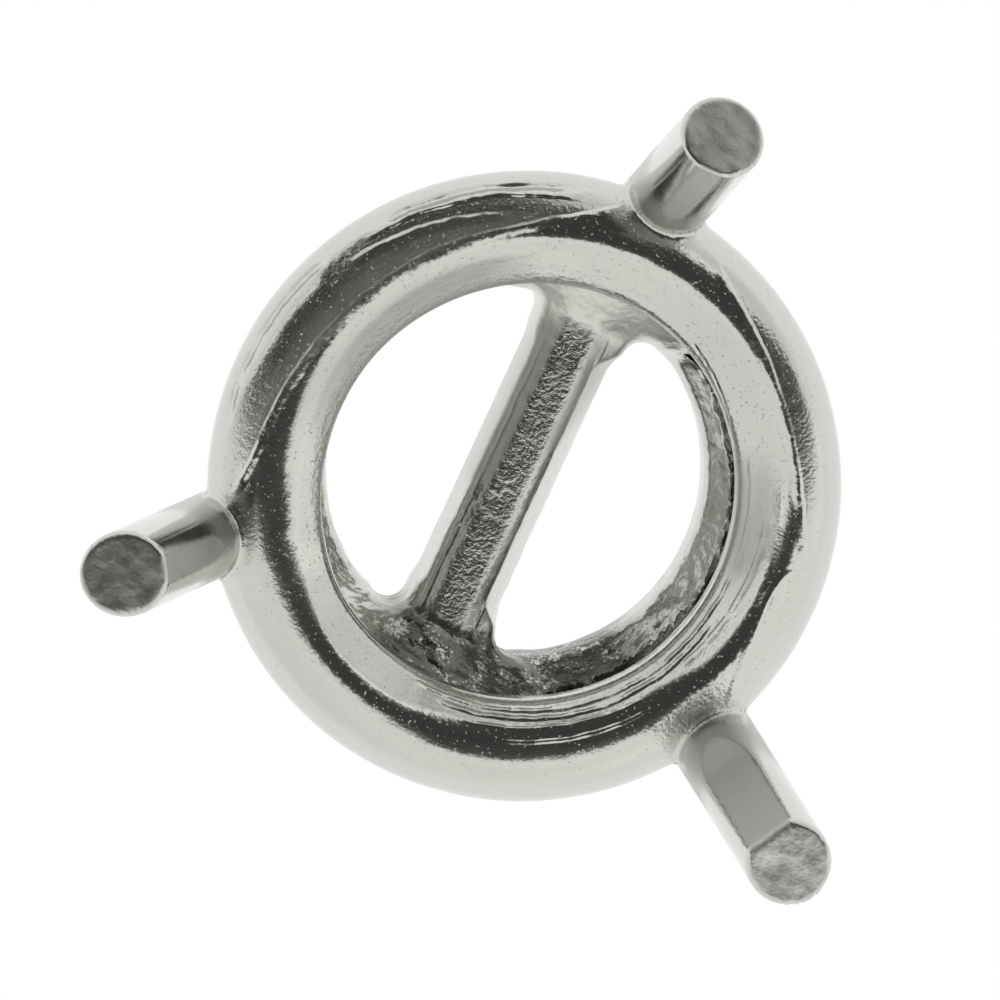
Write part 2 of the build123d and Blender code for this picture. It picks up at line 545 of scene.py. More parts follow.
def filed_flat(x, y, z, r, crest, size, middle, rows):
    """Distance to a flat whose edges lie on the rail at two radii that change round the ring."""
    turn = turn_from(x, y, middle)
    width = size["rail_outer_radius"] - crest
    inner = larger((along_curve(turn, [(row[0], row[1]) for row in rows]) - crest) / width, 0.0)
    outer = (along_curve(turn, [(row[0], row[2]) for row in rows]) - crest) / width
    outer = larger(outer, inner + LEAST_FLAT)
    inner_up = (1.0 - inner * inner).do("SQRT") * size["rail_crest_rise"]
    outer_up = (1.0 - outer * outer).do("SQRT") * size["rail_crest_rise"]
    fall = inner_up - outer_up
    run = (outer - inner) * width
    over = (r - crest - inner * width) * fall + (z - size["rail_middle_height"] - inner_up) * run
    runs_out = 1.0 - rise(outer - inner, *FLAT_RUNS_OUT)
    aside = (r - crest - (inner + outer) * width / 2.0) / (run / 2.0 + LEAST_FLAT)
    bulge = larger(1.0 - aside * aside, -1.0) * (1.0 - runs_out) * run / 2.0 * FILED_BULGE
    return over / length(fall, run) - runs_out * FILED_EDGE - bulge


def rail_parts(x, y, z, r, size):
    """Distances to the rail as cast and to all that its flats leave."""
    turn = turn_from(x, y, CREST_MIDDLE)
    crest, seat, lip = [along_curve(turn, rows) for rows in (CREST, SEAT, LIP)]
    body = rail_body(r, z, crest, seat, lip, size)
    flats = None
    for middle, rows in FLATS:
        flat = filed_flat(x, y, z, r, crest, size, middle, rows)
        flats = flat if flats is None else flats.do("SMOOTH_MAX", flat, FILED_EDGE)
    return body, flats


def wall_and_base(r, z, size):
    """The wall under the rail and the base ring, still without its windows."""
    wall_middle = (size["wall_inner_radius"] + size["wall_outer_radius"]) / 2.0
    wall_half = (size["wall_outer_radius"] - size["wall_inner_radius"]) / 2.0
    wall_top = size["rail_middle_height"]
    wall = slab(r - wall_middle, z - wall_top / 2.0, wall_half, wall_top / 2.0, LIP_EDGE)
    base_middle = (size["base_outer_radius"] + size["window_radius"]) / 2.0
    base_half = (size["base_outer_radius"] - size["window_radius"]) / 2.0
    base_low = z - size["base_height"] / 2.0
    base = slab(r - base_middle, base_low, base_half, size["base_height"] / 2.0, WINDOW_EDGE)
    ledge_width = size["wall_inner_radius"] - size["window_radius"]
    ledge_length = length(ledge_width, size["ledge_rise"])
    ledge_up = (z - size["base_height"]) * ledge_width - (r - size["window_radius"]) * size["ledge_rise"]
    ledge = common(ledge_up / ledge_length, abs(r - wall_middle) - (wall_half + ledge_width), WALL_FILLET)
    ledge = common(ledge, r - wall_middle, WALL_FILLET)
    return melt(melt(wall, base, WALL_FILLET), ledge, WALL_FILLET)


def windows(r, x, size):
    """The two windows beside the bar, with rounded corners, seen from above."""
    corner = size["window_corner_radius"]
    return common(r - size["window_radius"], size["bar_width"] / 2.0 - abs(x), corner)


def cross_bar(r, x, y, z, size):
    """The bar: a level strip, sloping margins, steep sides, and ends that flare into the wall."""
    flare = rise(abs(y), *BAR_FLARE)
    half = pick(flare, size["bar_end_width"] / 2.0, size["bar_width"] / 2.0)
    slanted_height = size["bar_height"] * (1.0 - BAR_SLANTS_FROM)
    up_share = larger(z - size["bar_height"] * BAR_SLANTS_FROM, 0.0) / slanted_height * (1.0 - flare)
    near_side = -x + size["bar_side_slant"] * up_share
    far_side = x + size["bar_far_slant"] * up_share
    side = (larger(near_side, far_side) - half) * SLANT_OF_SIDE
    climb = (abs(y) - size["bar_length"] / 2.0) * size["bar_climb"]
    climb = climb.do("SMOOTH_MAX", 0.0, BAR_CLIMB_BEND)
    top = (z - size["bar_height"] - climb) * SLANT_OF_CLIMB
    off = x + size["bar_flat_shift"]
    right_fall, left_fall = BAR_MARGIN_FALLS
    right_drop = (off - size["bar_flat_width"] / 2.0) * right_fall
    left_drop = (-off - size["bar_flat_width"] / 2.0) * left_fall
    margin = (top + larger(right_drop, left_drop) * (1.0 - flare)) * SLANT_OF_MARGIN
    strip = top.do("SMOOTH_MAX", margin, BAR_STRIP_EDGE)
    body = side.do("SMOOTH_MAX", strip, pick(flare, BAR_FLARE_EDGE, BAR_SIDE_EDGE))
    return larger(body, r - size["wall_outer_radius"] + BAR_IN_WALL)


def groove_at(x, y, r, z, size):
    """Distance to the line where the ledge goes in under the lip, deeper in on the far side."""
    out_x, out_y = cos(radians(GROOVE_DEEP_AT)), sin(radians(GROOVE_DEEP_AT))
    radius = size["groove_radius"] + (x * out_x + y * out_y) / r * GROOVE_DEEPER_BY
    up = (radius - size["window_radius"]) * size["ledge_rise"]
    height = size["base_height"] + up / (size["wall_inner_radius"] - size["window_radius"])
    return length(r - radius, z - height)


def groove(x, y, r, z, size, position, tree):
    """The ragged groove there, broken into dashes."""
    rough = grain(tree, position, GROOVE_BREAKS, w=0.0)
    return groove_at(x, y, r, z, size) - size["groove_size"] * (1.0 + rough * GROOVE_RAGGED)


def prong_parts(x, y, z, size, stand_azimuth, end_azimuth, end_lean, flat_depth):
    """Distance from a prong's middle line, and distances beyond its end and its inner flat."""
    stand = [
        size["prong_stand_radius"] * cos(radians(stand_azimuth)),
        size["prong_stand_radius"] * sin(radians(stand_azimuth)),
        size["rail_middle_height"],
    ]
    end = [
        size["prong_end_radius"] * cos(radians(end_azimuth)),
        size["prong_end_radius"] * sin(radians(end_azimuth)),
        size["prong_end_height"],
    ]
    way = [e - s for e, s in zip(end, stand)]
    way_length = length(*way)
    way = [part / way_length for part in way]
    off = [x - end[0], y - end[1], z - end[2]]
    turn = length(
        off[1] * way[2] - off[2] * way[1],
        off[2] * way[0] - off[0] * way[2],
        off[0] * way[1] - off[1] * way[0],
    )
    lean = radians(end_lean)
    cut_x = sin(lean) * cos(radians(end_azimuth))
    cut_y = sin(lean) * sin(radians(end_azimuth))
    cut = off[0] * cut_x + off[1] * cut_y + off[2] * cos(lean)
    in_x, in_y = -cos(radians(end_azimuth)), -sin(radians(end_azimuth))
    flat = (off[0] * in_x + off[1] * in_y) * way[2] - off[2] * (way[0] * in_x + way[1] * in_y)
    depth = pick(rise(z, *PRONG_FLAT_STARTS), flat_depth, NO_FLAT)
    return turn, cut, flat - size["prong_radius"] + depth


def casting_form(tree, position, size):
    """Distance to the casting's surface in millimetres, less than nought inside."""
    parts = add_node(tree, "ShaderNodeSeparateXYZ", Vector=position)
    x, y, z = [Num(tree, socket) for socket in parts.outputs]
    r = length(x, y)
    rail, flats = rail_parts(x, y, z, r, size)
    rail = rail.do("SMOOTH_MAX", flats, FILED_EDGE)
    body = melt(rail, wall_and_base(r, z, size), WALL_FILLET)
    body = melt(body, cross_bar(r, x, y, z, size), BAR_FILLET)
    body = body.do("SMOOTH_MAX", -groove(x, y, r, z, size, position, tree), GROOVE_EDGE)
    body = common(body, -windows(r, x, size), WINDOW_EDGE)
    for prong in PRONGS:
        turn, cut, flat = prong_parts(x, y, z, size, *prong)
        wire = (turn - size["prong_radius"]).do("SMOOTH_MAX", flat, PRONG_FLAT_EDGE)
        body = melt(body, common(wire, cut, PRONG_EDGE), PRONG_FILLET)
    return common(body, -z, FOOT_EDGE)


def size_inputs(tree):
    """Name the casting's sizes as inputs of a tree."""
    for name, value in SIZES.items():
        socket = tree.interface.new_socket(name, in_out="INPUT", socket_type="NodeSocketFloat")
        socket.default_value = value


def pass_sizes(tree, source, node):
    """Hand the sizes on from the tree's own inputs to a group inside it."""
    for name in SIZES:
        tree.links.new(source.outputs[name], node.inputs[name])


def form_group():
    """Node group that gives the distance to the casting at a position."""
    tree = bpy.data.node_groups.new("casting form", "GeometryNodeTree")
    tree.interface.new_socket("Position", in_out="INPUT", socket_type="NodeSocketVector")
    size_inputs(tree)
    tree.interface.new_socket("Distance", in_out="OUTPUT", socket_type="NodeSocketFloat")
    source = tree.nodes.new("NodeGroupInput")
    size = {name: Num(tree, source.outputs[name]) for name in SIZES}
    distance = casting_form(tree, source.outputs["Position"], size)
    result = tree.nodes.new("NodeGroupOutput")
    plug(tree, distance, result.inputs["Distance"])
    return tree


def cast_share(r, z):
    """1 on the rough skin inside the ring and on the bar, 0 on what is polished."""
    return (1.0 - rise(r, *CAST_RADII)) * (1.0 - rise(z, *CAST_HEIGHTS))


def on_bar(x, y):
    """1 on the straight part of the bar, 0 elsewhere."""
    return (1.0 - rise(abs(y), *BAR_HALF_LENGTHS)) * (1.0 - rise(abs(x), *BAR_HALF_WIDTHS))


def on_prong(r, z):
    """1 on the prongs above and outside the rail, 0 elsewhere."""
    return larger(rise(z, *PRONG_HEIGHTS), rise(r, *PRONG_RADII))


def filed_share(x, y, z, size):
    """1 on the flats filed on the rail and inside the prongs, 0 elsewhere."""
    r = length(x, y)
    rail, flats = rail_parts(x, y, z, r, size)
    prong_flats = None
    for prong in PRONGS:
        turn, _, flat = prong_parts(x, y, z, size, *prong)
        foot = (1.0 - rise(turn, *ROUND_PRONG_FOOT)) * (1.0 - rise(z, *FOOT_HEIGHTS))
        share = rise(flat - turn + size["prong_radius"], *ON_PRONG_FLAT) * (1.0 - rise(turn, *NEAR_PRONG))
        share = larger(share, foot)
        prong_flats = share if prong_flats is None else prong_flats + share
    return larger(prong_flats, rise(flats - rail, *ON_RAIL_FLAT) * (1.0 - on_prong(r, z)))


def end_share(x, y, z, size):
    """1 on the cut ends of the prongs, 0 elsewhere."""
    share = None
    for prong in PRONGS:
        turn, cut, _ = prong_parts(x, y, z, size, *prong)
        inside = 1.0 - rise(turn, size["prong_radius"] - END_RIM, size["prong_radius"] - END_RIM_EDGE)
        here = inside * rise(cut, *ON_CUT_END)
        share = here if share is None else share + here
    return share


def surface_group(form):
    """Node group that adds the rough cast skin and the waves of polishing to the form."""
    tree = bpy.data.node_groups.new("casting surface", "GeometryNodeTree")
    tree.interface.new_socket("Position", in_out="INPUT", socket_type="NodeSocketVector")
    size_inputs(tree)
    tree.interface.new_socket("Distance", in_out="OUTPUT", socket_type="NodeSocketFloat")
    source = tree.nodes.new("NodeGroupInput")
    position = source.outputs["Position"]
    parts = add_node(tree, "ShaderNodeSeparateXYZ", Vector=position)
    x, y, z = [Num(tree, socket) for socket in parts.outputs]
    r = length(x, y)
    cast = cast_share(r, z)
    size = {name: Num(tree, source.outputs[name]) for name in SIZES}
    ends = end_share(x, y, z, size)
    bar = on_bar(x, y)
    lumpy = stretch(x, y, LUMPY_LEDGE) * (1.0 - bar)
    lumps = grain(tree, position, LUMPS, w=0.0) * pick(bar, LUMP_HEIGHT_ON_BAR, LUMP_HEIGHT)
    small = pick(bar, SMALL_LUMP_HEIGHT_ON_BAR, SMALL_LUMP_HEIGHT) + lumpy * LUMPY_LEDGE_HEIGHT
    lumps = lumps + grain(tree, position, SMALL_LUMPS, w=0.0) * small
    waves = grain(tree, position, RAIL_WAVES, w=0.0) * RAIL_WAVE_HEIGHT
    waves = waves + grain(tree, position, RAIL_RIPPLES, w=0.0) * RAIL_RIPPLE_HEIGHT
    prong_waves = grain(tree, position, PRONG_WAVES, w=0.0) * PRONG_WAVE_HEIGHT
    waves = pick(on_prong(r, z), prong_waves, waves)
    cuts = grain(tree, position, END_CUTS, 1.0, w=0.0) * END_CUT_HEIGHT
    waves = pick(ends, cuts, waves)
    lift = pick(cast, lumps, waves) * rise(z, *SMOOTH_FOOT)
    distance = call_form(tree, form, source, position) - lift
    result = tree.nodes.new("NodeGroupOutput")
    plug(tree, distance, result.inputs["Distance"])
    return tree


def call_form(tree, form, source, position):
    """Distance that a form's group gives at the position."""
    node = tree.nodes.new("GeometryNodeGroup")
    node.node_tree = form
    plug(tree, position, node.inputs["Position"])
    pass_sizes(tree, source, node)
    return Num(tree, node.outputs["Distance"])


def vector(tree, operation, *values):
    """A Vector Math node's arrow from sockets and plain values."""
    node = tree.nodes.new("ShaderNodeVectorMath")
    node.operation = operation
    for place, value in zip(node.inputs, values):
        plug(tree, value, place)
    return node.outputs["Vector"]


def scaled(tree, arrow, factor):
    """The arrow, longer by the factor."""
    node = tree.nodes.new("ShaderNodeVectorMath")
    node.operation = "SCALE"
    plug(tree, arrow, node.inputs["Vector"])
    plug(tree, factor, node.inputs["Scale"])
    return node.outputs["Vector"]


def slope_group(form):
    """Node group that gives the distance and the direction in which it grows."""
    tree = bpy.data.node_groups.new("casting slope", "GeometryNodeTree")
    tree.interface.new_socket("Position", in_out="INPUT", socket_type="NodeSocketVector")
    size_inputs(tree)
    tree.interface.new_socket("To surface", in_out="OUTPUT", socket_type="NodeSocketVector")
    tree.interface.new_socket("Outwards", in_out="OUTPUT", socket_type="NodeSocketVector")
    source = tree.nodes.new("NodeGroupInput")
    distance = None
    arrow = None
    for corner in FOUR_CORNERS:
        step = Vector(corner) * SLOPE_STEP
        place = vector(tree, "ADD", source.outputs["Position"], step)
        value = call_form(tree, form, source, place)
        part = scaled(tree, tuple(corner), value)
        distance = value if distance is None else distance + value
        arrow = part if arrow is None else vector(tree, "ADD", arrow, part)
    outwards = vector(tree, "NORMALIZE", arrow)
    steepness = tree.nodes.new("ShaderNodeVectorMath")
    steepness.operation = "LENGTH"
    plug(tree, arrow, steepness.inputs[0])
    climb = Num(tree, steepness.outputs["Value"]) / (len(FOUR_CORNERS) * SLOPE_STEP)
    back = -(distance / len(FOUR_CORNERS)) / larger(climb, LEAST_CLIMB)
    result = tree.nodes.new("NodeGroupOutput")
    plug(tree, scaled(tree, outwards, back), result.inputs["To surface"])
    plug(tree, outwards, result.inputs["Outwards"])
    return tree


def call_slope(tree, slope, source, position):
    """Arrows from the position to the surface and straight out of the metal there."""
    node = tree.nodes.new("GeometryNodeGroup")
    node.node_tree = slope
    plug(tree, position, node.inputs["Position"])
    pass_sizes(tree, source, node)
    return node.outputs["To surface"], node.outputs["Outwards"]


def onto_surface(tree, mesh, slope, source):
    """Move every point of the mesh straight onto the casting's surface."""
    position = out(add_node(tree, "GeometryNodeInputPosition"))
    to_surface, _ = call_slope(tree, slope, source, position)
    return out(add_node(tree, "GeometryNodeSetPosition", Geometry=mesh, Offset=to_surface))


def store(tree, mesh, name, value, kind):
    """Keep a value for each point of the mesh under this name."""
    settings = {"data_type": kind, "domain": "POINT"}
    node = add_node(tree, "GeometryNodeStoreNamedAttribute", settings, Geometry=mesh, Name=name, Value=value)
    return out(node)


def stored(tree, name, kind):
    """The value that is kept under this name."""
    node = add_node(tree, "GeometryNodeInputNamedAttribute", {"data_type": kind}, Name=name)
    return out(node, "Attribute")


def casting_tree(metal):
    """The whole casting: draw it on a grid, set it on its exact surface, give it its finish."""
    form = form_group()
    surface = surface_group(form)
    slope = slope_group(surface)
    tree = bpy.data.node_groups.new("cast setting", "GeometryNodeTree")
    size_inputs(tree)
    tree.interface.new_socket("Geometry", in_out="OUTPUT", socket_type="NodeSocketGeometry")
    source = tree.nodes.new("NodeGroupInput")
    position = out(add_node(tree, "GeometryNodeInputPosition"))
    fullness = SURFACE_LEVEL - call_form(tree, form, source, position)
    low = Vector(CAD_LOW) - Vector((GRID_MARGIN,) * 3)
    high = Vector(CAD_HIGH) + Vector((GRID_MARGIN,) * 3)
    cells = [ceil(extent / CELL) for extent in high - low]
    high = low + Vector(cells) * CELL
    cube = add_node(tree, "GeometryNodeVolumeCube", Density=fullness, Min=low, Max=high)
    for axis, count in zip("XYZ", cells):
        cube.inputs[f"Resolution {axis}"].default_value = count + 1
    mesh = out(add_node(tree, "GeometryNodeVolumeToMesh", Volume=out(cube), Threshold=SURFACE_LEVEL))
    mesh = out(add_node(tree, "GeometryNodeMergeByDistance", Geometry=mesh, Distance=CELL * SLIVER_SHARE))
    for _ in range(SURFACE_ROUNDS):
        mesh = onto_surface(tree, mesh, slope, source)
    parts = add_node(tree, "ShaderNodeSeparateXYZ", Vector=position)
    x, y, z = [Num(tree, socket) for socket in parts.outputs]
    size = {name: Num(tree, source.outputs[name]) for name in SIZES}
    mesh = store(tree, mesh, "cast_skin", cast_share(length(x, y), z), "FLOAT")
    mesh = store(tree, mesh, "cut_end", end_share(x, y, z, size), "FLOAT")
    mesh = store(tree, mesh, "filed", filed_share(x, y, z, size), "FLOAT")
    _, outwards = call_slope(tree, slope, source, position)
    mesh = store(tree, mesh, "outwards", outwards, "FLOAT_VECTOR")
    to_metres = (METRES_PER_MM,) * 3
    mesh = out(add_node(tree, "GeometryNodeTransform", Geometry=mesh, Scale=to_metres))
    mesh = out(add_node(tree, "GeometryNodeSetShadeSmooth", Geometry=mesh))
    normals = stored(tree, "outwards", "FLOAT_VECTOR")
    settings = {"mode": "FREE", "domain": "POINT"}
    mesh = out(add_node(tree, "GeometryNodeSetMeshNormal", settings, Mesh=mesh, Custom_Normal=normals))
    mesh = out(add_node(tree, "GeometryNodeRemoveAttribute", Geometry=mesh, Name="outwards"))
    mesh = out(add_node(tree, "GeometryNodeRealizeInstances", Geometry=mesh))
    mesh = out(add_node(tree, "GeometryNodeSetMaterial", Geometry=mesh, Material=metal))
    result = tree.nodes.new("NodeGroupOutput")
    plug(tree, mesh, result.inputs["Geometry"])
    return tree


def made_by_nodes(name, tree, values):
    """Run a node tree with named values and keep its result as a plain mesh object."""
    blank = bpy.data.objects.new(name + "_blank", bpy.data.meshes.new(name + "_blank"))
    bpy.context.scene.collection.objects.link(blank)
    modifier = blank.modifiers.new(name, "NODES")
    modifier.node_group = tree
    for item in tree.interface.items_tree:
        if item.item_type == "SOCKET" and item.in_out == "INPUT" and item.name in values:
            modifier[item.identifier] = values[item.name]
    bpy.context.view_layer.update()
    graph = bpy.context.evaluated_depsgraph_get()
    mesh = bpy.data.meshes.new_from_object(blank.evaluated_get(graph))
    blank.modifiers.clear()
    bpy.data.objects.remove(blank)
    piece = bpy.data.objects.new(name, mesh)
    bpy.context.scene.collection.objects.link(piece)
    return piece


def line_along(turns, r, wander, inwards, outwards, rows):
    """Height of a fine line that follows the ring, 1 at its top, through rows of azimuth and radius."""
    middle = (rows[0][0] + rows[-1][0]) / 2
    half = (rows[-1][0] - rows[0][0]) / 2
    from_azimuth = min(turns, key=lambda azimuth: abs((middle - azimuth + 180) % 360 - 180))
    turn = turns[from_azimuth]
    shift = (middle - from_azimuth + 180) % 360 - 180 - middle
    off = r - along_curve(turn, [(azimuth + shift, radius) for azimuth, radius, _ in rows])
    off = off + wander * LINE_WANDER
    strength = along_curve(turn, [(azimuth + shift, share) for azimuth, _, share in rows])
    top = rise(off, -inwards, 0.0) * (1.0 - rise(off, 0.0, outwards))
    fades = 1.0 - rise(abs(turn - (middle + shift)), half - LINE_FADE, half)
    return top * strength * (1.0 + wander * LINE_UNEVEN) * fades


def drawn_out(tree, x, y, z, r, grains):
    """Grain that is drawn out round the ring, as a file or a lathe leaves it."""
    count, across = grains
    place = add_node(tree, "ShaderNodeCombineXYZ", X=x / r * count, Y=y / r * count, Z=r * across)
    return grain(tree, out(place), 1.0, 1.0, z * across)


def metal_surface(tree):
    """Where a point of the metal lies, the shares of its finishes, and its grains."""
    place = out(add_node(tree, "ShaderNodeTexCoord"), "Object")
    parts = add_node(tree, "ShaderNodeSeparateXYZ", Vector=place)
    x, y, z = [Num(tree, socket) / METRES_PER_MM for socket in parts.outputs]
    r = length(x, y)
    at = SimpleNamespace(x=x, y=y, z=z, r=r)
    at.skin, at.cut, at.filed = [
        Num(tree, out(add_node(tree, "ShaderNodeAttribute", {"attribute_name": name}), "Fac"))
        for name in ("cast_skin", "cut_end", "filed")
    ]
    at.fine = grain(tree, place, FINE_GRAIN, 2.0)
    at.broad = grain(tree, place, BROAD_GRAIN, 1.0)
    at.blotch = grain(tree, place, BLOTCHES, 2.0)
    at.streaks = drawn_out(tree, x, y, z, r, STREAKS)
    at.rings = drawn_out(tree, x, y, z, r, RINGS)
    at.rail = 1.0 - on_prong(r, z)
    matte = stretch(x, y, MATTE_SEATS[0]) + stretch(x, y, MATTE_SEATS[1])
    at.matte_seat = matte * (1.0 - rise(r, *MATTE_RADII)) * at.rail
    at.pitted_lip = stretch(x, y, PITTED_LIP) * (1.0 - rise(r, *PITTED_RADII)) * at.rail
    at.saddle = stretch(x, y, SADDLE) * rise(r, *SADDLE_RADII)
    at.upper = stretch(x, y, UPPER_SKIN)
    at.bar = on_bar(x, y) * at.skin
    at.grit = at.bar * (1.0 - rise(abs(x + SIZES["bar_flat_shift"]), *GRIT_DISTANCES))
    return at


def polished_height(at):
    """Marks of polishing, filing and turning on the rail, in microns."""
    turned = stretch(at.x, at.y, TURNED_SEAT) * (1.0 - rise(at.r, *TURNED_RADII))
    filed_streaks, polished_streaks = FILED_OR_POLISHED_STREAKS
    filed_broad, polished_broad = FILED_OR_POLISHED_BROAD
    polished_streaks = polished_streaks - at.matte_seat * MATTE_LESS_STREAKS
    polished_broad = polished_broad - at.matte_seat * MATTE_LESS_BROAD
    height = at.fine * pick(at.filed, *FILED_OR_POLISHED_FINE)
    height = height + at.streaks * pick(at.filed, filed_streaks, polished_streaks)
    height = height + at.rings * pick(turned, *TURNED_OR_OTHER_RINGS)
    height = height + at.pitted_lip * (at.fine * LIP_FINE + at.broad * LIP_BROAD)
    height = height - rise(at.fine, *PIT_LEVELS) * PIT_DEPTH
    height = height + at.saddle * (at.fine * SADDLE_BUMP + at.broad * SADDLE_BUMP)
    height = height + at.broad * pick(at.filed, filed_broad, polished_broad)
    turns = {azimuth: turn_from(at.x, at.y, azimuth) for azimuth in LINE_TURNS_FROM}
    for top, inwards, outwards, rows in LINES:
        height = height + line_along(turns, at.r, at.blotch, inwards, outwards, rows) * top
    return height


def crust_height(at):
    """The rough skin inside the ring and on the bar, in microns."""
    height = at.fine * pick(at.grit, *GRIT_OR_SKIN_FINE) + at.broad * pick(at.grit, *GRIT_OR_SKIN_BROAD)
    height = height + at.blotch * pick(at.bar, *BAR_OR_LEDGE_BLOTCHES)
    height = height * pick(stretch(at.x, at.y, CRUSTED_LEDGE) * (1.0 - at.bar), CRUSTED_GAIN, 1.0)
    coarse = at.broad * COARSE_BROAD + at.blotch * COARSE_BLOTCHES
    return height + stretch(at.x, at.y, COARSE_LEDGE) * coarse


def metal_height(at):
    """Height of the whole surface's fine marks, in microns."""
    prong_skin = at.fine * pick(at.filed, *FLAT_OR_ROUND_PRONG_FINE) + at.broad * at.filed * PRONG_FLAT_BROAD
    height = pick(at.skin, crust_height(at), pick(at.rail, polished_height(at), prong_skin))
    for ridge in BAR_RIDGES:
        off = abs(at.x - ridge + at.blotch * RIDGE_WANDER)
        height = height + (1.0 - rise(off, 0.0, RIDGE_HALF_WIDTH)) * at.bar * RIDGE_HEIGHT
    return pick(at.cut, at.fine * END_FINE + at.broad * END_BROAD, height)


def metal_roughness(at):
    """Bright where it is polished, duller where it is filed, cast or cut."""
    crease = stretch(at.x, at.y, SOFT_CREASE) * (1.0 - rise(at.r, *CREASE_RADII)) * at.filed * at.rail
    matte = at.filed * (pick(at.rail, *RAIL_OR_PRONG_FLAT_DULLER) + pick(at.saddle, SADDLE_DULLER, 0.0))
    matte = matte + at.matte_seat * MATTE_SEAT_DULLER
    matte = matte + at.pitted_lip * LIP_DULLER + crease * CREASE_DULLER
    cast = CAST_ROUGHNESS + at.upper * (1.0 - at.grit) * UPPER_SKIN_DULLER
    rough = pick(at.skin, cast, matte + POLISHED_ROUGHNESS) + at.broad * ROUGHNESS_SPREAD
    return pick(at.cut, CUT_ROUGHNESS, rough)


def metal_colour(at):
    """Silvery white and grey at the cut ends, with painted shade on the ledge and by the groove, and painted
    light on the skin's upper stretch and the far cut end.
    """
    # Patches of painted shade darken the skin of the ledge where it lies recessed on this stretch
    recess = stretch(at.x, at.y, LEDGE_PAINTED_SHADE) * at.skin * rise(at.r, *LEDGE_SHADE_RADII)
    ledge_shade = recess * rise(at.blotch + at.fine * 0.8, *LEDGE_SHADE_LEVELS)
    # The skin's upper stretch is made paler here: painted light
    painted_light = 1.0 + at.upper * at.skin * (1.0 - at.bar) * UPPER_SKIN_PAINTED_LIGHT
    # Ragged painted shade darkens the metal along the groove under the lip
    broken = rise(at.blotch * 0.6 + at.broad * 0.8 + at.fine * 0.8, *GROOVE_SHADE_LEVELS)
    near_groove = 1.0 - rise(groove_at(at.x, at.y, at.r, at.z, SIZES), *GROOVE_SHADE_DISTANCES)
    groove_shade = near_groove * stretch(at.x, at.y, GROOVE_PAINTED_SHADE) * broken
    # The cut end past the second place along X is made lighter: painted light. The blotches are the cut
    # metal's own uneven tone
    ends = (1.0 + at.blotch * CUT_BLOTCHES) * pick(rise(at.x, *PAINTED_LIGHT_END_PLACES), *PAINTED_LIGHT_OR_PLAIN_END)
    tint = [pick(ledge_shade, s, painted_light * c) * (1.0 - groove_shade * GROOVE_SHADE_DARKENS) for s, c in zip(PAINTED_SHADE_COLOUR, CLEAN)]
    return [pick(at.cut, ends * d, t) for d, t in zip(DULL_CUT, tint)]


def cast_metal():
    """Silvery white metal: polished outside, with a rough skin where it stays as cast."""
    metal = bpy.data.materials.new("silvery cast metal")
    metal.use_nodes = True
    tree = metal.node_tree
    shader = tree.nodes["Principled BSDF"]
    shader.inputs["Metallic"].default_value = 1.0
    at = metal_surface(tree)
    micron = METRES_PER_MM * METRES_PER_MM
    bump = add_node(tree, "ShaderNodeBump", Height=metal_height(at), Distance=micron)
    plug(tree, out(bump), shader.inputs["Normal"])
    plug(tree, metal_roughness(at), shader.inputs["Roughness"])
    red, green, blue = metal_colour(at)
    colour = add_node(tree, "ShaderNodeCombineColor", Red=red, Green=green, Blue=blue)
    plug(tree, out(colour), shader.inputs["Base Color"])
    return metal


# Camera: azimuth and height of its direction, and the angle at which +Y shows
CAMERA_AZIMUTH = radians(144.5)
CAMERA_HEIGHT = radians(81.5)
BAR_SHOWS_AT = radians(65.2)
PIXELS = 1000
PIXELS_PER_MM = 112
ORIGIN_PIXEL = (511.4, 463.5)
CAMERA_DISTANCE = 0.38
CAMERA_SEES = (0.001, 10)
SENSOR_MM = 36

# The dark opening of the tent, in degrees from the camera's direction: how far up
# its middle lies, half its height, half its width to the right and to the left,
# between which heights, with which fading, it is wider on the left, and from
# where its upper right corner is drawn in, and by which share
OPENING_UP = 14
OPENING_HALF_HEIGHT = 42
OPENING_RIGHT = 68
OPENING_LEFT = 44
OPENING_LEFT_WIDER = 64
WIDER_BETWEEN = (0, 20, 5)
SIDES_MEET = (-12, 12)
CORNER_CUT_FROM = (22, 32)
CORNER_CUT_BY = 0.5

# Brightness of the opening at its edge and in its middle, of the tent from its top
# down and from right to left, of its rim round the opening, and near the floor,
# with the degrees or shares over which each of them changes
OPENING_EDGE, OPENING_MIDDLE, OPENING_SHARES = 0.09, 0.055, (0.6, 1.0)
TENT_TOP, TENT_FOOT, TENT_HEIGHTS = 0.68, 0.94, (-30, 70)
TENT_RIGHT, TENT_LEFT, TENT_SIDES = 1.05, 0.92, (-80, 60)
RIM_BRIGHTER, RIM_SHARES, RIM_HEIGHTS = 0.4, (1.15, 1.5, 0.10), (-25, 5)
BY_THE_FLOOR, FLOOR_LIGHT_HEIGHTS = 0.95, (0.0, 0.4)

# How softly the opening ends above and below, the tent's folds and how much they
# show, how much blue its white has, and half the floor's side in metres
SOFT_ABOVE, SOFT_BELOW, SOFT_HEIGHTS = 0.20, 0.06, (-25, 20)
FOLDS, FOLD_CONTRAST = 2.6, 0.25
BLUE_SHARE = 0.97
FLOOR_HALF_SIZE = 0.6


def camera_axes():
    """Right, up and backwards of the picture as arrows in the frame."""
    back = Vector(
        (
            cos(CAMERA_HEIGHT) * cos(CAMERA_AZIMUTH),
            cos(CAMERA_HEIGHT) * sin(CAMERA_AZIMUTH),
            sin(CAMERA_HEIGHT),
        )
    )
    bar = (Vector((0, 1, 0)) - back * back.y).normalized()
    bar_side = back.cross(bar)
    right = bar * cos(BAR_SHOWS_AT) - bar_side * sin(BAR_SHOWS_AT)
    return right, back.cross(right), back


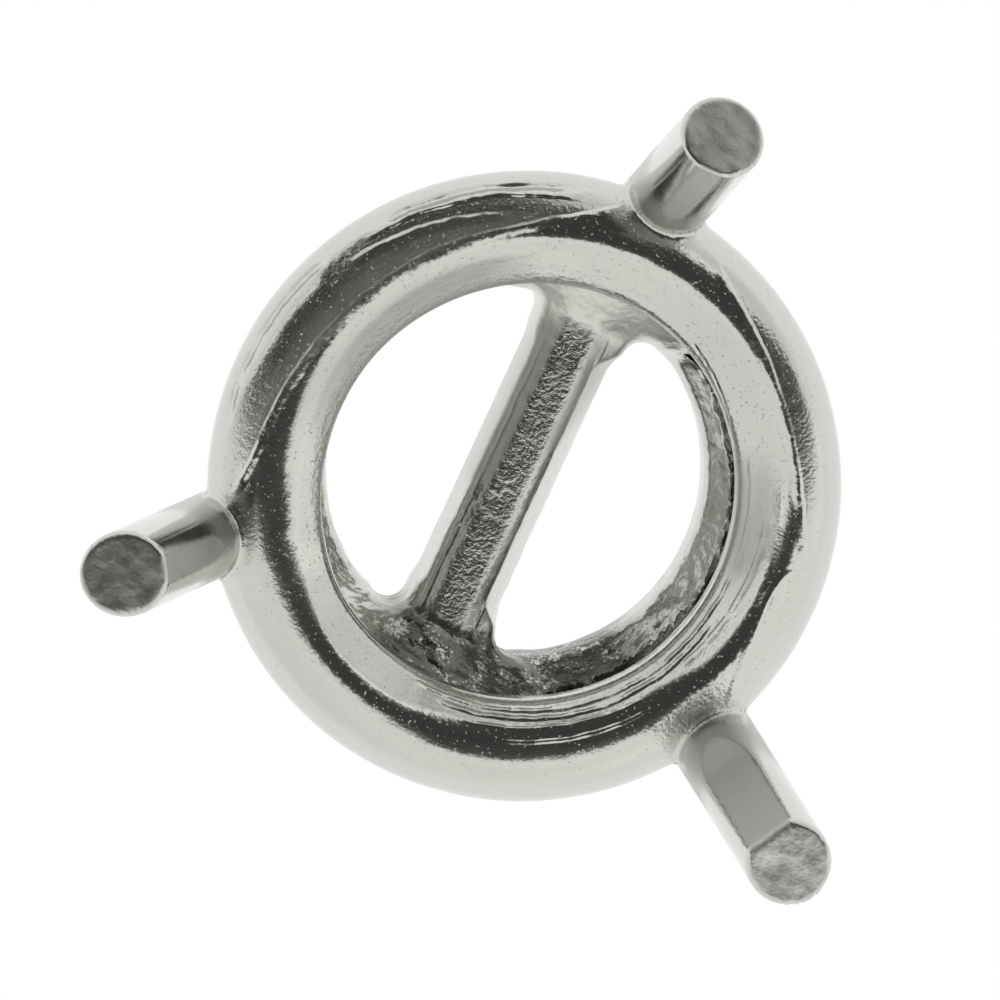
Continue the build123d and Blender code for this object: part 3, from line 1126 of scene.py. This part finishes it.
def add_camera():
    """A long lens that looks at the casting as the photo does."""
    right, up, back = camera_axes()
    mm = METRES_PER_MM / PIXELS_PER_MM
    middle = (PIXELS / 2 - ORIGIN_PIXEL[0]) * mm * right - (PIXELS / 2 - ORIGIN_PIXEL[1]) * mm * up
    data = bpy.data.cameras.new("camera")
    data.sensor_width = SENSOR_MM
    data.lens = SENSOR_MM * CAMERA_DISTANCE / (PIXELS * mm)
    data.clip_start, data.clip_end = CAMERA_SEES
    camera = bpy.data.objects.new("camera", data)
    camera.matrix_world = Matrix.Translation(middle + back * CAMERA_DISTANCE) @ Matrix(
        (
            (right.x, up.x, back.x, 0),
            (right.y, up.y, back.y, 0),
            (right.z, up.z, back.z, 0),
            (0, 0, 0, 1),
        )
    )
    bpy.context.scene.collection.objects.link(camera)
    bpy.context.scene.camera = camera


def rise_over(angle, start, end):
    """A share that goes from 0 to 1 between two angles in degrees."""
    return rise(angle, radians(start), radians(end))


def add_world():
    """A white tent, greyer at the top, with its dark opening round and above the camera."""
    world = bpy.data.worlds.new("tent")
    bpy.context.scene.world = world
    world.use_nodes = True
    tree = world.node_tree
    background = tree.nodes["Background"]
    way = out(add_node(tree, "ShaderNodeTexCoord"), "Generated")
    parts = []
    for arrow in camera_axes():
        dot = add_node(tree, "ShaderNodeVectorMath", {"operation": "DOT_PRODUCT"})
        plug(tree, way, dot.inputs[0])
        plug(tree, tuple(arrow), dot.inputs[1])
        parts.append(Num(tree, dot.outputs["Value"]))
    aside = parts[0].do("ARCTAN2", parts[2])
    over = parts[1].do("ARCTAN2", parts[2])
    wider = window_share(over, *[radians(angle) for angle in WIDER_BETWEEN])
    left_width = pick(wider, OPENING_LEFT_WIDER, OPENING_LEFT)
    half_width = pick(rise_over(aside, *SIDES_MEET), OPENING_RIGHT, left_width) * radians(1.0)
    opening = length(aside / half_width, (over - radians(OPENING_UP)) / radians(OPENING_HALF_HEIGHT))
    upper_right = rise_over(aside, *CORNER_CUT_FROM) * rise_over(over, *CORNER_CUT_FROM)
    opening = opening * (1.0 + upper_right * CORNER_CUT_BY)
    shade = pick(rise_over(over, *TENT_HEIGHTS), TENT_TOP, TENT_FOOT)
    shade = shade * pick(rise_over(aside, *TENT_SIDES), TENT_RIGHT, TENT_LEFT)
    rim = window_share(opening, *RIM_SHARES) * rise_over(over, *RIM_HEIGHTS)
    shade = shade * (1.0 + rim * RIM_BRIGHTER)
    low = Num(tree, add_node(tree, "ShaderNodeSeparateXYZ", Vector=way).outputs["Z"])
    shade = pick(rise(low, *FLOOR_LIGHT_HEIGHTS), shade, BY_THE_FLOOR)
    soft = pick(rise_over(over, *SOFT_HEIGHTS), SOFT_ABOVE, SOFT_BELOW)
    dark = pick(rise(opening, *OPENING_SHARES), OPENING_EDGE, OPENING_MIDDLE)
    folds = grain(tree, way, FOLDS, 1.0) * FOLD_CONTRAST + 1.0
    light = pick(rise((opening - 1.0) / soft, -1.0, 1.0), shade, dark) * folds
    colour = add_node(tree, "ShaderNodeCombineColor", Red=light, Green=light, Blue=light * BLUE_SHARE)
    plug(tree, out(colour), background.inputs["Color"])
    # The tent has no small bright spot, so the metal's own reflections find its light
    world.cycles.sampling_method = "NONE"


def add_floor():
    """A plain white floor under the casting that gives off its own even light."""
    half = FLOOR_HALF_SIZE
    corners = [(-half, -half, 0), (half, -half, 0), (half, half, 0), (-half, half, 0)]
    mesh = bpy.data.meshes.new("floor")
    mesh.from_pydata(corners, [], [(0, 1, 2, 3)])
    paint = bpy.data.materials.new("white floor")
    paint.use_nodes = True
    shader = paint.node_tree.nodes["Principled BSDF"]
    shader.inputs["Base Color"].default_value = (0, 0, 0, 1)
    shader.inputs["Specular IOR Level"].default_value = 0
    shader.inputs["Emission Color"].default_value = (1, 1, 1, 1)
    shader.inputs["Emission Strength"].default_value = 1.0
    mesh.materials.append(paint)
    floor = bpy.data.objects.new("floor", mesh)
    bpy.context.scene.collection.objects.link(floor)


bpy.context.scene.view_settings.view_transform = "Standard"
add_camera()
add_world()
add_floor()
casting = made_by_nodes("cast_setting", casting_tree(cast_metal()), SIZES)
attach(casting, "root")
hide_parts("setting")
